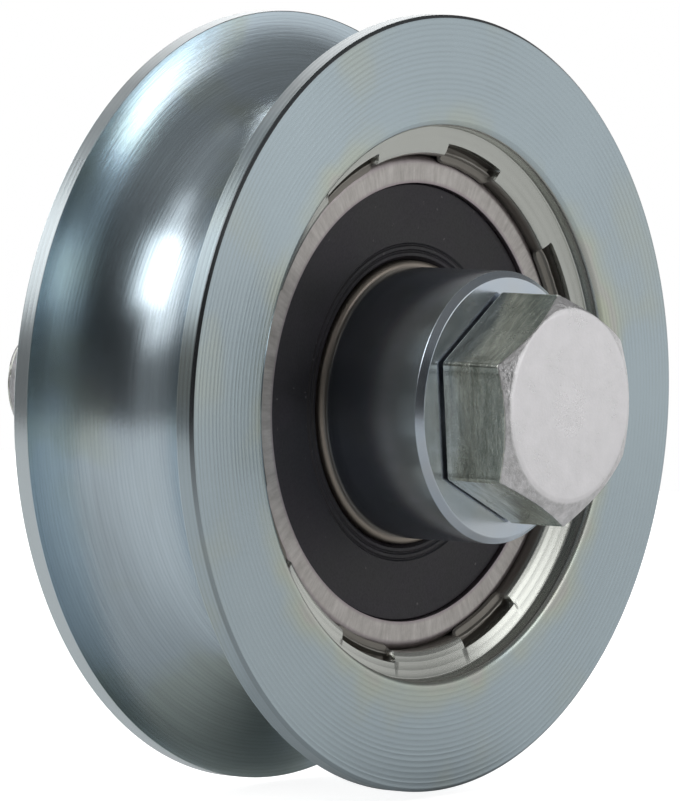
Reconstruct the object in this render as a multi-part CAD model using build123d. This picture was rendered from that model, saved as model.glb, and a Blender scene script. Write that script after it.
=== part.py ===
from build123d import *
import os
from math import cos, radians, tan

# A round groove wheel on its axle bolt, in millimetres. The origin is the wheel's centre.
# +Y is the spin axis and points from the bolt's head to its nut, and +Z is up.
# Angles about the axis are measured from +X towards +Z.

# Rim. The groove takes a round rail of 12.
groove_radius = 6.1
groove_wall = 2.9
flange_edge_width = 1.25
rim_edge_chamfer = 0.25
recess_lip_round = 0.4
land_width = 1.85
land_drop = 0.56
land_rise = 0.74
seat_edge_round = 0.45
shoulder_height = 1.7
shoulder_chamfer = 0.4

# Stakes, the punched tabs that hold the bearing in the rim
stake_count = 8
stake_first_angle = 25.5
stake_span = 20.0
stake_reach = 0.36
stake_root_width = 0.2
stake_pocket_width = 0.6
stake_pocket_sink = 0.2
stake_tab_thickness = 0.35
stake_tab_bevel = 0.15

# Deep groove ball bearing, 12 x 32 x 10
bearing_bore = 12.0
bearing_width = 10.0
ball_to_width = 0.5953
ball_count = 7
ball_clearance = 0.0235
track_wall = 2.0
track_depth = 1.15
track_conformity = 0.52
outer_ring_corner_round = 0.6
inner_ring_edge_round = 0.3

# Seals
seal_step_height = 1.29
seal_thickness = 0.7
seal_recess = 0.3
seal_bead_height = 0.26
seal_bead_width = 0.7
seal_bead_depth = 0.45
seal_edge_bevel = 0.12
seal_lip_clearance = 0.05
seal_lip_bevel = 0.24
seal_rib_start = 0.55
seal_rib_pitch = 0.42
seal_rib_depth = 0.12
seal_rib_count = 2

# Cage
cage_band_width = 2.3
cage_thickness = 0.45
cage_pocket_clearance = 0.08
rivet_radius = 0.5
rivet_head_radius = 0.85
rivet_head_height = 0.35
rivet_clearance = 0.02

# Spacer bushes
bush_diameter = 17.5
bush_length = 7.65
bush_edge_chamfer = 0.4
bush_bolt_clearance = 0.2
bush_bore_chamfer = 0.4
bush_spigot_clearance = 0.02
bush_spigot_chamfer = 0.2
bush_spigot_gap = 0.1

# M8 bolt
thread_diameter = 8.0
thread_pitch = 1.25
bolt_length = 39.0
bolt_tip_chamfer = 0.65
hex_across_flats = 13.0
hex_bevel_angle = 30.0
bolt_head_height = 5.3
bolt_head_angle = 34.2
bolt_head_top_inset = 0.38
bolt_head_top_offset = 0.35
bolt_washer_face_inset = 0.6
bolt_washer_face_height = 0.3

# Lock washer and nut
washer_section_width = 2.85
washer_bolt_clearance = 0.2
washer_thickness = 2.0
washer_slit_width = 1.4
washer_slit_slant = 25.0
washer_slit_angle = 70.0
nut_height = 6.5
nut_angle = 12.0
nut_face_inset = 0.3
nut_countersink_reach = 0.25

# How far a cutting shape runs past what it cuts
cut_overshoot = 2.0

# Worked out from the values above
ball_diameter = ball_to_width * bearing_width
ball_radius = ball_diameter / 2
ball_step = 360 / ball_count
pitch_radius = bearing_bore / 2 + track_wall + ball_clearance + ball_radius
inner_shoulder_radius = bearing_bore / 2 + track_wall + track_depth
outer_shoulder_radius = 2 * pitch_radius - inner_shoulder_radius
seal_seat_radius = outer_shoulder_radius + seal_step_height
seat_radius = 2 * pitch_radius - bearing_bore / 2
recess_radius = seat_radius + land_width
stake_root_radius = seat_radius + stake_root_width
bearing_half = bearing_width / 2
stake_floor_y = stake_pocket_sink - bearing_half
rim_radius = seat_radius + groove_wall + groove_radius
rim_half = groove_radius + flange_edge_width
bush_end = bearing_half + bush_length
nut_start = bush_end + washer_thickness
nut_end = nut_start + nut_height
thread_radius = thread_diameter / 2
thread_flank_radius = thread_radius - 3 / 8 * thread_pitch * cos(radians(30))


def turned(profile, arc=360):
    """A solid turned about the spin axis from a closed profile of (radius, y) points."""
    return revolve(make_face(Polyline(*profile, close=True)), Axis.Y, revolution_arc=arc)


def at_angle(angle):
    """Turns what was made over +X to an angle about the spin axis."""
    return Rot(0, -angle, 0)


def to_rear(shape):
    """The same shape on the other side of the wheel's middle plane."""
    return mirror(shape, about=Plane.XZ)


def round_corner(section, radius, y, size):
    """Rounds the corner of a section that lies nearest to a (radius, y) point."""
    corner = min(section.vertices(), key=lambda v: abs(v.X - radius) + abs(v.Y - y))
    return fillet(corner, size)


# Rim

def rim_profile():
    """Section of the rim: flanges and groove outside, recess, bearing seat and shoulder inside."""
    land_inner_y = -bearing_half - land_rise
    land_outer_y = land_inner_y - land_drop
    recess_depth = rim_half + land_outer_y
    shoulder_radius = seat_radius - shoulder_height
    section = make_face(Polyline(
        (recess_radius, -rim_half),
        (rim_radius - rim_edge_chamfer, -rim_half),
        (rim_radius, -rim_half + rim_edge_chamfer),
        (rim_radius, rim_half - rim_edge_chamfer),
        (rim_radius - rim_edge_chamfer, rim_half),
        (shoulder_radius + shoulder_chamfer, rim_half),
        (shoulder_radius, rim_half - shoulder_chamfer),
        (shoulder_radius, bearing_half),
        (seat_radius, bearing_half),
        (seat_radius, land_inner_y),
        (recess_radius, land_outer_y),
        close=True))
    section = round_corner(section, seat_radius, land_inner_y, seat_edge_round)
    section = round_corner(section, recess_radius, -rim_half, min(recess_lip_round, recess_depth / 2))
    return section - Pos(rim_radius, 0) * Circle(groove_radius)


def at_stake(angle, profile):
    """A turned block as wide as a stake, centred on an angle about the spin axis."""
    return at_angle(angle + stake_span / 2) * turned(profile, stake_span)


def stake_pocket(angle):
    """The pocket that the punch leaves in the land, down past the bearing's face."""
    outer_radius = stake_root_radius + stake_pocket_width
    return at_stake(angle, [
        (seat_radius, stake_floor_y),
        (outer_radius, stake_floor_y),
        (outer_radius, -rim_half),
        (seat_radius, -rim_half),
    ])


def stake_tab(angle):
    """The metal that the punch pushed inwards, over the corner of the outer ring."""
    top_y = -bearing_half - stake_tab_thickness
    tip_radius = seat_radius - stake_reach
    return at_stake(angle, [
        (tip_radius, -bearing_half),
        (tip_radius, top_y + stake_tab_bevel),
        (tip_radius + stake_tab_bevel, top_y),
        (stake_root_radius, top_y),
        (stake_root_radius, stake_floor_y),
        (seat_radius, stake_floor_y),
        (seat_radius, -bearing_half),
    ])


def wheel_rim():
    rim = revolve(rim_profile(), Axis.Y)
    angles = [stake_first_angle + i * 360 / stake_count for i in range(stake_count)]
    for angle in angles:
        rim -= stake_pocket(angle)
        rim += stake_tab(angle)
    return rim


# Bearing

def track(sign):
    """Section of the track that the balls run in: sign is 1 for the outer ring, -1 for the inner."""
    track_radius = track_conformity * ball_diameter
    bottom_radius = pitch_radius + sign * (ball_radius + ball_clearance)
    return Pos(bottom_radius - sign * track_radius, 0) * Circle(track_radius)


def bearing_outer_ring():
    """Ring with a track, and at each face a step and a snap groove for the seal."""
    groove_outer_y = bearing_half - seal_bead_depth
    groove_inner_y = groove_outer_y - seal_bead_width
    groove_bottom_radius = seal_seat_radius + seal_bead_height
    rear_half = [
        (seat_radius, bearing_half),
        (seal_seat_radius, bearing_half),
        (seal_seat_radius, groove_outer_y),
        (groove_bottom_radius, groove_outer_y),
        (groove_bottom_radius, groove_inner_y),
        (outer_shoulder_radius, groove_inner_y),
    ]
    front_half = [(radius, -y) for radius, y in reversed(rear_half)]
    section = make_face(Polyline(*rear_half, *front_half, close=True))
    for y in (bearing_half, -bearing_half):
        section = round_corner(section, seat_radius, y, outer_ring_corner_round)
    return revolve(section - track(1), Axis.Y)


def bearing_inner_ring():
    """Ring with a track, and edges rounded for the seal lips."""
    bore_radius = bearing_bore / 2
    section = make_face(Polyline(
        (bore_radius, bearing_half),
        (inner_shoulder_radius, bearing_half),
        (inner_shoulder_radius, -bearing_half),
        (bore_radius, -bearing_half),
        close=True))
    for y in (bearing_half, -bearing_half):
        section = round_corner(section, inner_shoulder_radius, y, inner_ring_edge_round)
    return revolve(section - track(-1), Axis.Y)


def rear_seal():
    """Moulded disc with a bead in the outer ring's groove, fine ribs and a lip by the inner ring."""
    face_y = bearing_half - seal_recess
    back_y = face_y - seal_thickness
    bead_outer_y = bearing_half - seal_bead_depth
    bead_inner_y = bead_outer_y - seal_bead_width
    bead_root_radius = seal_seat_radius - seal_bead_height
    lip_radius = inner_shoulder_radius + seal_lip_clearance
    outline = [
        (lip_radius, back_y),
        (lip_radius, face_y - seal_lip_bevel),
        (lip_radius + seal_lip_bevel, face_y),
    ]
    for i in range(seal_rib_count):
        rib_radius = lip_radius + seal_rib_start + i * seal_rib_pitch
        outline += [
            (rib_radius - seal_rib_depth, face_y),
            (rib_radius, face_y - seal_rib_depth),
            (rib_radius + seal_rib_depth, face_y),
        ]
    outline += [
        (seal_seat_radius - seal_edge_bevel, face_y),
        (seal_seat_radius, bead_outer_y),
        (seal_seat_radius + seal_bead_height, bead_outer_y),
        (seal_seat_radius + seal_bead_height, bead_inner_y),
        (bead_root_radius, bead_inner_y),
        (bead_root_radius, back_y),
    ]
    return turned(outline)


# Balls and cage

def ball_place(index):
    """The centre of a ball. A half index gives the place between two balls."""
    return at_angle(90 + index * ball_step) * Pos(pitch_radius, 0, 0)


def ball(index):
    return ball_place(index) * Sphere(ball_radius)


def cage_band(height):
    """A flat ring of the cage's width, from the middle plane to a height."""
    inner_radius = pitch_radius - cage_band_width / 2
    outer_radius = pitch_radius + cage_band_width / 2
    return turned([(inner_radius, 0), (outer_radius, 0), (outer_radius, height), (inner_radius, height)])


def cage_rear_half():
    """Stamped ribbon: flat between the balls and arched over each one."""
    pocket_radius = ball_radius + cage_pocket_clearance
    arch_radius = pocket_radius + cage_thickness
    rivet_hole = Rot(90, 0, 0) * Cylinder(rivet_radius + rivet_clearance, cage_thickness + cut_overshoot)
    ribbon = cage_band(cage_thickness)
    arches = cage_band(arch_radius)
    for i in range(ball_count):
        ribbon += arches & (ball_place(i) * Sphere(arch_radius))
    for i in range(ball_count):
        ribbon -= ball_place(i) * Sphere(pocket_radius)
        ribbon -= ball_place(i + 0.5) * rivet_hole
    return ribbon


def rivet(index):
    """A round shank with a low domed head on each side of the cage."""
    top_y = cage_thickness + rivet_head_height
    outline = Polyline(
        (0, top_y),
        (0, 0),
        (rivet_radius, 0),
        (rivet_radius, cage_thickness),
        (rivet_head_radius, cage_thickness))
    dome = TangentArc((0, top_y), (rivet_head_radius, cage_thickness), tangent=(1, 0))
    rear_half = revolve(make_face(outline + dome), Axis.Y)
    return ball_place(index + 0.5) * (rear_half + to_rear(rear_half))


# Axle

def rear_bush():
    """Turned spacer that clamps the inner ring, with a spigot inside the bearing's bore."""
    outer_radius = bush_diameter / 2
    bore_radius = thread_radius + bush_bolt_clearance
    spigot_radius = bearing_bore / 2 - bush_spigot_clearance
    return turned([
        (bore_radius, bush_spigot_gap),
        (spigot_radius - bush_spigot_chamfer, bush_spigot_gap),
        (spigot_radius, bush_spigot_gap + bush_spigot_chamfer),
        (spigot_radius, bearing_half),
        (outer_radius, bearing_half),
        (outer_radius, bush_end - bush_edge_chamfer),
        (outer_radius - bush_edge_chamfer, bush_end),
        (bore_radius + bush_bore_chamfer, bush_end),
        (bore_radius, bush_end - bush_bore_chamfer),
    ])


def hexagon(low_y, high_y, angle):
    """A hexagonal block along the spin axis, with a corner at the given angle."""
    outline = RegularPolygon(hex_across_flats / 2, 6, major_radius=False, rotation=angle)
    return extrude(Plane.XZ.offset(-high_y) * outline, high_y - low_y)


def bevel_cone(face_y, back_y, inset):
    """The cone that bevels a hexagon's corners at face_y, leaving a round face inset from its flats."""
    face_radius = hex_across_flats / 2 - inset
    back_radius = face_radius + abs(back_y - face_y) / tan(radians(hex_bevel_angle))
    return turned([(0, face_y), (face_radius, face_y), (back_radius, back_y), (0, back_y)])


def hex_bolt():
    """Forged head with a bevel a little off centre, and a shank narrowed to the flanks in the nut."""
    top_y = -bush_end - bolt_head_height
    base_y = -bush_end - bolt_washer_face_height
    tip_y = bolt_length - bush_end
    washer_face_radius = hex_across_flats / 2 - bolt_washer_face_inset
    bevel = Pos(0, 0, bolt_head_top_offset) * bevel_cone(top_y, base_y, bolt_head_top_inset)
    shank = turned([
        (0, base_y),
        (washer_face_radius, base_y),
        (washer_face_radius, -bush_end),
        (thread_radius, -bush_end),
        (thread_radius, nut_start),
        (thread_flank_radius, nut_start),
        (thread_flank_radius, nut_end),
        (thread_radius, nut_end),
        (thread_radius, tip_y - bolt_tip_chamfer),
        (thread_radius - bolt_tip_chamfer, tip_y),
        (0, tip_y),
    ])
    return (hexagon(top_y, base_y, bolt_head_angle) & bevel) + shank


def lock_washer():
    """Flattened spring washer with a slanted slit."""
    inner_radius = thread_radius + washer_bolt_clearance
    outer_radius = inner_radius + washer_section_width
    ring = turned([
        (inner_radius, bush_end),
        (outer_radius, bush_end),
        (outer_radius, nut_start),
        (inner_radius, nut_start),
    ])
    slit = Box(outer_radius, washer_thickness + 2 * cut_overshoot, washer_slit_width)
    slit_place = Pos((inner_radius + outer_radius) / 2, (bush_end + nut_start) / 2, 0)
    return ring - at_angle(washer_slit_angle) * slit_place * Rot(washer_slit_slant, 0, 0) * slit


def hex_nut():
    """Nut bevelled and countersunk on both faces. Its bore is the cylinder of the thread's flanks."""
    nut = hexagon(nut_start, nut_end, nut_angle)
    nut &= bevel_cone(nut_start, nut_end, nut_face_inset)
    nut &= bevel_cone(nut_end, nut_start, nut_face_inset)
    mouth_radius = thread_radius + nut_countersink_reach
    countersink_depth = mouth_radius - thread_flank_radius
    return nut - turned([
        (0, nut_start),
        (mouth_radius, nut_start),
        (thread_flank_radius, nut_start + countersink_depth),
        (thread_flank_radius, nut_end - countersink_depth),
        (mouth_radius, nut_end),
        (0, nut_end),
    ])


parts = {
    "wheel_rim": wheel_rim(),
    "bearing_outer_ring": bearing_outer_ring(),
    "bearing_inner_ring": bearing_inner_ring(),
    "front_seal": to_rear(rear_seal()),
    "rear_seal": rear_seal(),
    "cage_front_half": to_rear(cage_rear_half()),
    "cage_rear_half": cage_rear_half(),
    "cage_rivets": Compound([rivet(i).solid() for i in range(ball_count)]),
    "front_bush": to_rear(rear_bush()),
    "rear_bush": rear_bush(),
    "hex_bolt": hex_bolt(),
    "lock_washer": lock_washer(),
    "hex_nut": hex_nut(),
}
for i in range(ball_count):
    parts[f"ball_{i + 1}"] = ball(i)

os.makedirs("parts", exist_ok=True)
for name, shape in parts.items():
    export_step(shape, f"parts/{name}.step")
    print(name, len(shape.solids()), round(shape.volume, 2))
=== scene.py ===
import math
import random

import bmesh
import bpy
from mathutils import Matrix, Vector, noise


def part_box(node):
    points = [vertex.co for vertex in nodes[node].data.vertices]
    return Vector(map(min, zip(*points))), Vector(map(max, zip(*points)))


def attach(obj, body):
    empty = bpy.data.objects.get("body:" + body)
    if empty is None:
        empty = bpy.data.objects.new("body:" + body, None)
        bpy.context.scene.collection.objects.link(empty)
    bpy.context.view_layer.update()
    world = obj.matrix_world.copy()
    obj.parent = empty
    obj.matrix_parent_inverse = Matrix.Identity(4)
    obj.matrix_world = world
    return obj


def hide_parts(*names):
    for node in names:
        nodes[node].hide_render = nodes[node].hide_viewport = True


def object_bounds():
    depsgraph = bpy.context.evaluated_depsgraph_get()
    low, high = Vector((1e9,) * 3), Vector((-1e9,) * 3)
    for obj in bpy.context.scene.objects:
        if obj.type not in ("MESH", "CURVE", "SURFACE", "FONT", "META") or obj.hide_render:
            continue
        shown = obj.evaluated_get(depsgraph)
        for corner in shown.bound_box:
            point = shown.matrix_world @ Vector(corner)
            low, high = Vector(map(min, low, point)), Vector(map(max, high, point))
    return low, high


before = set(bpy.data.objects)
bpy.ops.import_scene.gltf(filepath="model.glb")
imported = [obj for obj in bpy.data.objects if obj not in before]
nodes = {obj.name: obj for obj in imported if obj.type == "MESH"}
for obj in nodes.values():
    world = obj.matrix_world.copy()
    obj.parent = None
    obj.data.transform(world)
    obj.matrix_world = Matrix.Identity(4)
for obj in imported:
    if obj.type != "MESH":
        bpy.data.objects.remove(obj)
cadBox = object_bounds()
mm = 0.001
print("frame loaded:", len(nodes), "nodes")


# Camera and studio

photoCamera = {
    "pictureSize": (680, 801),
    "azimuth": -51.51,            # degrees round the wheel from its front
    "elevation": 4.17,
    "distance": 0.5989,           # metres from the wheel's centre
    "focalPixels": 9247.4,
    "centrePixel": (349.6, 398.8),    # where the wheel's centre falls in the picture
    "sensor": 36.0,
    "clip": (0.01, 20.0),
}

studio = {
    "background": (1.0, 1.0, 1.0),
    "fill": 0.42,                 # the room's light on plain surfaces
    "floorDrop": 0.0004,          # the floor lies this far under the rim
    "floorSize": 0.40,
    "floorColour": (0.45, 0.45, 0.45),
    "floorGlow": 0.88,            # what the camera sees of the floor's own white
    "floorShine": 0.145,          # and what metal shows of it, away from the wheel's own shadow
    "shadowCentre": 0.012,        # that shadow's middle, to the right of the wheel's
    "shadowEdge": (0.010, 0.023),     # where it begins to fade and where it has gone
}

# grey cloths round the wheel that only its metal shows: azimuth, elevation, half sizes and soft edge in
# degrees, and how pale the cloth is
cloths = {
    "besideCamera": {"azimuth": -45, "elevation": 9, "wide": 52, "high": 26, "soft": 8, "level": 0.05},
    "leftAndBehind": {"azimuth": -140, "elevation": 3, "wide": 52, "high": 20, "soft": 8, "level": 0.16},
    "aboveFront": {"azimuth": -5, "elevation": 48, "wide": 74, "high": 34, "soft": 9, "level": 0.17},
    "aboveRight": {"azimuth": 88, "elevation": 44, "wide": 48, "high": 36, "soft": 9, "level": 0.16},
    "rightFront": {"azimuth": 60, "elevation": 4, "wide": 42, "high": 24, "soft": 9, "level": 0.72},
    "aboveBehind": {"azimuth": 180, "elevation": 62, "wide": 60, "high": 20, "soft": 8, "level": 0.18},
    "overhead": {"azimuth": 0, "elevation": 86, "wide": 180, "high": 14, "soft": 6, "level": 0.25},
}
clothDistance = 0.90
clothSpacing = 0.01               # each cloth lies this much further out than the one before
clothSteps = (48, 16)

softPanels = {
    "leftPanel": {"azimuth": -92, "elevation": 46, "wide": 21, "high": 12, "level": 2.2},
    "frontPanel": {"azimuth": 30, "elevation": 20, "wide": 11, "high": 9, "level": 1.6},
    "backPanel": {"azimuth": 142, "elevation": 30, "wide": 17, "high": 25, "level": 4.8},
}
panelDistance = 0.60


def direction(azimuth, elevation):
    a, e = math.radians(azimuth), math.radians(elevation)
    return Vector((math.sin(a) * math.cos(e), -math.cos(a) * math.cos(e), math.sin(e)))


def addObject(name, data):
    added = bpy.data.objects.new(name, data)
    bpy.context.scene.collection.objects.link(added)
    return added


def aimAtWheel(thing, settings, distance):
    towards = direction(settings["azimuth"], settings["elevation"])
    thing.location = towards * distance
    thing.rotation_mode = "QUATERNION"
    thing.rotation_quaternion = (-towards).to_track_quat("-Z", "Y")


def makeCamera():
    c = photoCamera
    wide, high = c["pictureSize"]
    longSide = max(wide, high)
    data = bpy.data.cameras.new("photoCamera")
    data.sensor_width = c["sensor"]
    data.lens = c["focalPixels"] * c["sensor"] / longSide
    data.shift_x = (wide / 2 - c["centrePixel"][0]) / longSide
    data.shift_y = (c["centrePixel"][1] - high / 2) / longSide
    data.clip_start, data.clip_end = c["clip"]
    camera = addObject("photoCamera", data)
    aimAtWheel(camera, c, c["distance"])
    bpy.context.scene.camera = camera


def addNode(tree, kind, **settings):
    node = tree.nodes.new(kind)
    for name, value in settings.items():
        if hasattr(node, name) and name not in node.inputs:
            setattr(node, name, value)
        else:
            node.inputs[name].default_value = value
    return node


def plug(tree, source, target):
    tree.links.new(source, target)


def maths(tree, operation, *values):
    # a Math node; each value is a number or a socket
    node = tree.nodes.new("ShaderNodeMath")
    node.operation = operation
    for socket, value in zip(node.inputs, values):
        if isinstance(value, (int, float)):
            socket.default_value = value
        else:
            plug(tree, value, socket)
    return node.outputs[0]


def product(tree, first, *others):
    for other in others:
        first = maths(tree, "MULTIPLY", first, other)
    return first


def total(tree, first, *others):
    for other in others:
        first = maths(tree, "ADD", first, other)
    return first


def weighted(tree, *terms):
    # terms are (socket, weight)
    return total(tree, *[maths(tree, "MULTIPLY", socket, weight) for socket, weight in terms])


def valueBy(tree, mask, outside, inside):
    return total(tree, product(tree, mask, inside - outside), outside)


def rangeOf(tree, value, low, high, lowTo=0.0, highTo=1.0, smooth=True):
    node = tree.nodes.new("ShaderNodeMapRange")
    node.interpolation_type = "SMOOTHSTEP" if smooth else "LINEAR"
    plug(tree, value, node.inputs["Value"])
    for name, number in zip(("From Min", "From Max", "To Min", "To Max"), (low, high, lowTo, highTo)):
        node.inputs[name].default_value = number
    return node.outputs[0]


def mixColour(tree, share, first, second, blend="MIX"):
    node = tree.nodes.new("ShaderNodeMix")
    node.data_type = "RGBA"
    node.blend_type = blend
    for socket, value in ((node.inputs[0], share), (node.inputs[6], first), (node.inputs[7], second)):
        if isinstance(value, (int, float)):
            socket.default_value = value
        elif isinstance(value, tuple):
            socket.default_value = (*value, 1.0)
        else:
            plug(tree, value, socket)
    return node.outputs[2]


def shaded(tree, colour, level):
    # the colour times a grey of that level
    grey = tree.nodes.new("ShaderNodeCombineColor")
    for socket in grey.inputs:
        plug(tree, level, socket)
    return mixColour(tree, 1.0, colour, grey.outputs[0], "MULTIPLY")


def vectorOf(tree, *parts):
    node = tree.nodes.new("ShaderNodeCombineXYZ")
    for socket, part in zip(node.inputs, parts):
        plug(tree, part, socket)
    return node.outputs[0]


def partsOf(tree, vector):
    node = tree.nodes.new("ShaderNodeSeparateXYZ")
    plug(tree, vector, node.inputs[0])
    return node.outputs


def cameraAndMirror(tree):
    # whether a ray comes from the camera, and whether something glossy or clear sends it
    rays = tree.nodes.new("ShaderNodeLightPath").outputs
    return rays["Is Camera Ray"], maths(tree, "MAXIMUM", rays["Is Glossy Ray"], rays["Is Transmission Ray"])


def mixShaders(tree, share, first, second, output):
    mix = tree.nodes.new("ShaderNodeMixShader")
    for socket, source in zip(mix.inputs, (share, first.outputs[0], second.outputs[0])):
        plug(tree, source, socket)
    plug(tree, mix.outputs[0], tree.nodes.new(output).inputs["Surface"])


def clearedMaterial(name):
    material = bpy.data.materials.new(name)
    material.use_nodes = True
    material.node_tree.nodes.clear()
    return material, material.node_tree


def makeRoom():
    world = bpy.data.worlds.new("studioRoom")
    world.use_nodes = True
    bpy.context.scene.world = world
    tree = world.node_tree
    tree.nodes.clear()
    white = (*studio["background"], 1.0)
    fill = addNode(tree, "ShaderNodeBackground", Color=white, Strength=studio["fill"])
    backdrop = addNode(tree, "ShaderNodeBackground", Color=white)
    seen = maths(tree, "MAXIMUM", *cameraAndMirror(tree))
    mixShaders(tree, seen, fill, backdrop, "ShaderNodeOutputWorld")


def softStep(value):
    value = min(max(value, 0.0), 1.0)
    return value * value * (3 - 2 * value)


def clothMesh(name, cloth, distance):
    # part of a ball round the wheel, whose points carry how pale and how thick the cloth is there
    across, up = clothSteps
    points, edges = [], []
    for j in range(up + 1):
        v = -1 + 2 * j / up
        for i in range(across + 1):
            u = -1 + 2 * i / across
            azimuth = cloth["azimuth"] + cloth["wide"] * u
            points.append(direction(azimuth, cloth["elevation"] + cloth["high"] * v) * distance)
            aside = softStep((1 - abs(u)) * cloth["wide"] / cloth["soft"]) if cloth["wide"] < 180 else 1.0
            edges.append(aside * softStep((1 - abs(v)) * cloth["high"] / cloth["soft"]))
    row = across + 1
    faces = [(j * row + i, j * row + i + 1, (j + 1) * row + i + 1, (j + 1) * row + i)
             for j in range(up) for i in range(across)]
    mesh = bpy.data.meshes.new(name)
    mesh.from_pydata(points, [], faces)
    for label, values in (("softEdge", edges), ("level", [cloth["level"]] * len(points))):
        mesh.attributes.new(label, "FLOAT", "POINT").data.foreach_set("value", values)
    return mesh


def makeCloths():
    material, tree = clearedMaterial("greyCloth")
    level = addNode(tree, "ShaderNodeAttribute", attribute_name="level")
    edge = addNode(tree, "ShaderNodeAttribute", attribute_name="softEdge")
    clear = tree.nodes.new("ShaderNodeBsdfTransparent")
    grey = addNode(tree, "ShaderNodeEmission", Color=(1, 1, 1, 1))
    plug(tree, level.outputs["Fac"], grey.inputs["Strength"])
    mixShaders(tree, edge.outputs["Fac"], clear, grey, "ShaderNodeOutputMaterial")
    for order, (name, cloth) in enumerate(cloths.items()):
        mesh = clothMesh(name, cloth, clothDistance + clothSpacing * order)
        mesh.materials.append(material)
        screen = addObject(name, mesh)
        screen.visible_camera = False
        screen.visible_diffuse = False
        screen.visible_shadow = False


def makePanels():
    for name, panel in softPanels.items():
        data = bpy.data.lights.new(name, "AREA")
        data.shape = "RECTANGLE"
        data.size = 2 * panelDistance * math.tan(math.radians(panel["wide"]))
        data.size_y = 2 * panelDistance * math.tan(math.radians(panel["high"]))
        data.energy = panel["level"] * math.pi * data.size * data.size_y
        lamp = addObject(name, data)
        aimAtWheel(lamp, panel, panelDistance)
        lamp.visible_camera = False


def makeFloor():
    s = studio
    half = s["floorSize"] / 2
    height = cadBox[0].z - s["floorDrop"]
    mesh = bpy.data.meshes.new("floor")
    corners = [(-half, -half, height), (half, -half, height), (half, half, height), (-half, half, height)]
    mesh.from_pydata(corners, [], [(0, 1, 2, 3)])
    floor = addObject("floor", mesh)
    material, tree = clearedMaterial("floorPaper")
    paper = addNode(tree, "ShaderNodeBsdfDiffuse", Color=(*s["floorColour"], 1.0))
    glow = addNode(tree, "ShaderNodeEmission", Color=(*s["background"], 1.0))
    camera, mirrored = cameraAndMirror(tree)
    place = tree.nodes.new("ShaderNodeTexCoord")
    fromShadow = addNode(tree, "ShaderNodeVectorMath", operation="DISTANCE")
    plug(tree, place.outputs["Object"], fromShadow.inputs[0])
    fromShadow.inputs[1].default_value = (s["shadowCentre"], 0.0, height)
    shine = product(tree, mirrored, rangeOf(tree, fromShadow.outputs["Value"], *s["shadowEdge"]))
    level = weighted(tree, (camera, s["floorGlow"]), (shine, s["floorShine"]))
    plug(tree, level, glow.inputs["Strength"])
    both = tree.nodes.new("ShaderNodeAddShader")
    plug(tree, paper.outputs[0], both.inputs[0])
    plug(tree, glow.outputs[0], both.inputs[1])
    plug(tree, both.outputs[0], tree.nodes.new("ShaderNodeOutputMaterial").inputs["Surface"])
    mesh.materials.append(material)


makeCamera()
makeRoom()
makeCloths()
makePanels()
makeFloor()
bpy.context.scene.view_settings.view_transform = "Standard"
print("camera and studio made")


# Mesh making. Outlines are (radius, y) points in millimetres, turned about the Y axis.

softening = {
    "mostOfSide": 0.42,           # a round takes up at most this share of the shorter side
    "holdBySize": 0.15,
    "holdByReach": 0.05,
}


def softened(corners, steps=4, closed=True):
    # corners are (radius, y, softness); each one gets a round of that size, with a holding point at both ends
    s = softening
    outline = []
    count = len(corners)
    for i, (radius, y, soft) in enumerate(corners):
        here = Vector((radius, y))
        if soft <= 0 or (not closed and i in (0, count - 1)):
            outline.append((radius, y))
            continue
        before = Vector(corners[i - 1][:2]) - here
        after = Vector(corners[(i + 1) % count][:2]) - here
        bend = before.angle(after)
        reach = min(soft / math.tan(bend / 2), s["mostOfSide"] * min(before.length, after.length))
        size = reach * math.tan(bend / 2)
        before.normalize()
        after.normalize()
        centre = here + (before + after).normalized() * (size / math.sin(bend / 2))
        start = here + before * reach - centre
        end = here + after * reach - centre
        first = math.atan2(start.y, start.x)
        turn = math.atan2(end.y, end.x) - first
        turn = (turn + math.pi) % (2 * math.pi) - math.pi
        hold = min(s["holdBySize"] * size, s["holdByReach"] * reach)
        outline.append(tuple(here + before * (reach + hold)))
        for n in range(steps + 1):
            angle = first + turn * n / steps
            outline.append((centre.x + size * math.cos(angle), centre.y + size * math.sin(angle)))
        outline.append(tuple(here + after * (reach + hold)))
    return outline


def arcPoints(centre, size, fromAngle, toAngle, steps):
    points = []
    for s in range(steps + 1):
        angle = math.radians(fromAngle + (toAngle - fromAngle) * s / steps)
        points.append((centre[0] + size * math.cos(angle), centre[1] + size * math.sin(angle)))
    return points


def atAngle(bm, angle, radius, y):
    a = math.radians(angle)
    return bm.verts.new((radius * math.cos(a) * mm, y * mm, radius * math.sin(a) * mm))


def ringAt(bm, angle, outline):
    return [atAngle(bm, angle, r, y) for r, y in outline]


def skinRings(bm, rings, ringsMeet=True, pointsMeet=True):
    # faces between each ring and the next, all round where they meet
    pointCount = len(rings[0])
    for i in range(len(rings) if ringsMeet else len(rings) - 1):
        ring, following = rings[i], rings[(i + 1) % len(rings)]
        for j in range(pointCount if pointsMeet else pointCount - 1):
            k = (j + 1) % pointCount
            bm.faces.new((ring[j], ring[k], following[k], following[j]))


def finishMesh(name, bm, sharpAngle=38):
    bmesh.ops.remove_doubles(bm, verts=bm.verts, dist=1e-7)
    bmesh.ops.dissolve_degenerate(bm, edges=bm.edges, dist=1e-8)
    bmesh.ops.recalc_face_normals(bm, faces=bm.faces)
    mesh = bpy.data.meshes.new(name)
    bm.to_mesh(mesh)
    bm.free()
    mesh.shade_smooth()
    mesh.set_sharp_from_angle(angle=math.radians(sharpAngle))
    return addObject(name, mesh)


def turnedBody(name, sections):
    # sections are (angle in degrees, outline), all outlines with as many points, once round the axis
    bm = bmesh.new()
    skinRings(bm, [ringAt(bm, angle, outline) for angle, outline in sections])
    return finishMesh(name, bm)


def evenlyTurned(name, outline, stations):
    return turnedBody(name, [(360 * i / stations, outline) for i in range(stations)])


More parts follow.
